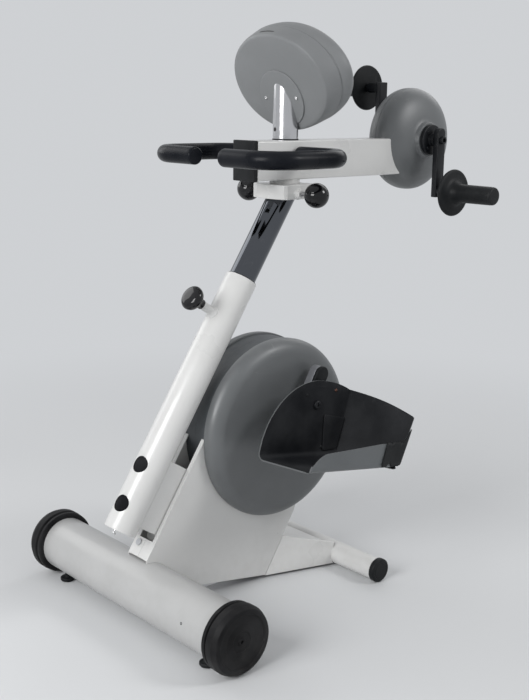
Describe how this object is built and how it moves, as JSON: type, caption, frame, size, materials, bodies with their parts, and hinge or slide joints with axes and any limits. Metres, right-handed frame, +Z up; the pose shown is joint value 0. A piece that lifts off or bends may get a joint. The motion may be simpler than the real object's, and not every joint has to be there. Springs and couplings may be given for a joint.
{
  "type": "active passive trainer",
  "caption": "Motorised leg and arm movement trainer on a floor frame, with cranked foot shells, hand cranks, padded handles, a swivelling arm unit and a tilted display.",
  "frame": {"origin": "centre of the footprint's bounding box, on the floor", "axes": "+Z up, +Y from the wheels to the user, +X to the left-hand pedal's side"},
  "size_m": [0.63, 0.9429, 1.1594],
  "materials": {
    "white_paint": "semi-gloss white powder coat",
    "steel": "plain steel",
    "black_plastic": "moulded black plastic",
    "tyre_black": "matt black rubber",
    "gloss_black": "polished black plastic",
    "key_grey": "pale grey plastic",
    "key_green": "green plastic",
    "cast_metal": "cast and machined metal",
    "belt_rubber": "ribbed belt",
    "grey_cover": "fine grained grey plastic",
    "satin_metal": "satin",
    "shell_grey": "grey plastic, dark lining inside",
    "chrome": "polished chrome",
    "foam_black": "closed cell foam",
    "black_paint": "black paint",
    "screen_glass": "dark display window"
  },
  "bodies": {
    "base": {"base_cross_tube": "white_paint", "wheel_axle": "steel", "front_foot_left": "black_plastic", "front_foot_right": "black_plastic", "base_spine": "steel", "crank_bearing": "steel", "rear_cross_tube": "white_paint", "rear_end_cap_left": "black_plastic", "rear_end_cap_right": "black_plastic", "side_cover_left": "white_paint", "side_cover_right": "white_paint", "column_bracket": "white_paint", "power_inlet": "key_grey", "rear_leg_cover": "white_paint", "leg_motor": "cast_metal", "column_tube": "white_paint", "column_plug_low": "black_plastic", "column_plug_high": "black_plastic", "guide_bush": "black_plastic", "disc_cover_left": "grey_cover", "disc_cover_right": "grey_cover", "leg_belt": "belt_rubber"},
    "wheel_left": {"wheel_left": "tyre_black"},
    "wheel_right": {"wheel_right": "tyre_black"},
    "leg_crank": {"crank_shaft": "steel", "leg_pulley": "cast_metal", "crank_arm_left": "satin_metal", "crank_arm_right": "satin_metal", "pedal_pin_left": "steel", "pedal_pin_right": "steel"},
    "foot_left": {"foot_shell_left": "shell_grey", "heel_strap_left": "black_plastic"},
    "foot_right": {"foot_shell_right": "shell_grey", "heel_strap_right": "black_plastic"},
    "motor_rotor": {"motor_pulley": "steel"},
    "clamp_knob": {"clamp_knob": "gloss_black"},
    "mast": {"mast_tube": "chrome", "head_block": "white_paint"},
    "lock_left": {"lock_knob_left": "gloss_black"},
    "lock_right": {"lock_knob_right": "gloss_black"},
    "beam": {"arm_beam": "white_paint", "beam_end_plate": "black_plastic", "handlebar": "steel", "handle_foam_left": "foam_black", "handle_foam_right": "foam_black", "arm_housing_left": "grey_cover", "arm_housing_right": "grey_cover", "arm_motor": "cast_metal"},
    "arm_crank": {"arm_shaft": "black_paint", "arm_crank_left": "black_paint", "arm_crank_right": "black_paint"},
    "grip_left": {"hand_grip_left": "black_plastic"},
    "grip_right": {"hand_grip_right": "black_plastic"},
    "display": {"display_stem": "white_paint", "display_rear_shell": "grey_cover", "display_front_shell": "grey_cover", "screen": "screen_glass"},
    "key_minus": {"key_minus": "key_grey"},
    "key_start": {"key_start": "key_green"},
    "key_plus": {"key_plus": "key_grey"}
  },
  "joints": [
    {"name": "wheel_left_roll", "type": "hinge", "parent": "base", "child": "wheel_left", "pos_m": [0.2941, -0.39748, 0.0685], "axis": [1, 0, 0], "continuous": true},
    {"name": "wheel_right_roll", "type": "hinge", "parent": "base", "child": "wheel_right", "pos_m": [-0.2941, -0.39748, 0.0685], "axis": [1, 0, 0], "continuous": true},
    {"name": "leg_crank_turn", "type": "hinge", "parent": "base", "child": "leg_crank", "pos_m": [0, -0.07148, 0.34], "axis": [1, 0, 0], "continuous": true},
    {"name": "motor_rotor_turn", "type": "hinge", "parent": "base", "child": "motor_rotor", "pos_m": [0.043, -0.15948, 0.232], "axis": [1, 0, 0], "continuous": true},
    {"name": "foot_left_tilt", "type": "hinge", "parent": "leg_crank", "child": "foot_left", "pos_m": [0.12, -0.03648, 0.40062], "axis": [1, 0, 0], "continuous": true},
    {"name": "foot_right_tilt", "type": "hinge", "parent": "leg_crank", "child": "foot_right", "pos_m": [-0.12, -0.10648, 0.27938], "axis": [1, 0, 0], "continuous": true},
    {"name": "clamp_knob_turn", "type": "hinge", "parent": "base", "child": "clamp_knob", "pos_m": [0, -0.23992, 0.6147], "axis": [0, -0.8339, 0.5519], "range_deg": [0, 180]},
    {"name": "mast_height", "type": "slide", "parent": "base", "child": "mast", "axis": [0, 0.5519, 0.8339], "range_m": [-0.12, 0.06]},
    {"name": "lock_left_pull", "type": "slide", "parent": "mast", "child": "lock_left", "axis": [1, 0, 0], "range_m": [0, 0.008], "stiffness_N_per_m": 600, "springref_m": -0.01},
    {"name": "lock_right_pull", "type": "slide", "parent": "mast", "child": "lock_right", "axis": [-1, 0, 0], "range_m": [0, 0.008], "stiffness_N_per_m": 600, "springref_m": -0.01},
    {"name": "beam_swivel", "type": "hinge", "parent": "mast", "child": "beam", "pos_m": [0, -0.02248, 0.843], "axis": [0, 0, 1], "range_deg": [0, 180]},
    {"name": "arm_crank_turn", "type": "hinge", "parent": "beam", "child": "arm_crank", "pos_m": [0, 0.35952, 0.927], "axis": [1, 0, 0], "continuous": true},
    {"name": "grip_left_turn", "type": "hinge", "parent": "arm_crank", "child": "grip_left", "pos_m": [0.13, 0.35952, 0.815], "axis": [1, 0, 0], "continuous": true},
    {"name": "grip_right_turn", "type": "hinge", "parent": "arm_crank", "child": "grip_right", "pos_m": [-0.13, 0.35952, 1.039], "axis": [1, 0, 0], "continuous": true},
    {"name": "display_turn", "type": "hinge", "parent": "beam", "child": "display", "pos_m": [0, -0.02248, 0.93], "axis": [0, 0, 1], "range_deg": [0, 180]},
    {"name": "key_minus_press", "type": "slide", "parent": "display", "child": "key_minus", "axis": [0, 0.9078, 0.4195], "range_m": [-0.0015, 0], "stiffness_N_per_m": 400, "springref_m": 0.002},
    {"name": "key_start_press", "type": "slide", "parent": "display", "child": "key_start", "axis": [0, 0.9078, 0.4195], "range_m": [-0.0015, 0], "stiffness_N_per_m": 400, "springref_m": 0.002},
    {"name": "key_plus_press", "type": "slide", "parent": "display", "child": "key_plus", "axis": [0, 0.9078, 0.4195], "range_m": [-0.0015, 0], "stiffness_N_per_m": 400, "springref_m": 0.002}
  ],
  "couplings": [
    {"joint": "motor_rotor_turn", "follows": "leg_crank_turn", "ratio": 5}
  ]
}
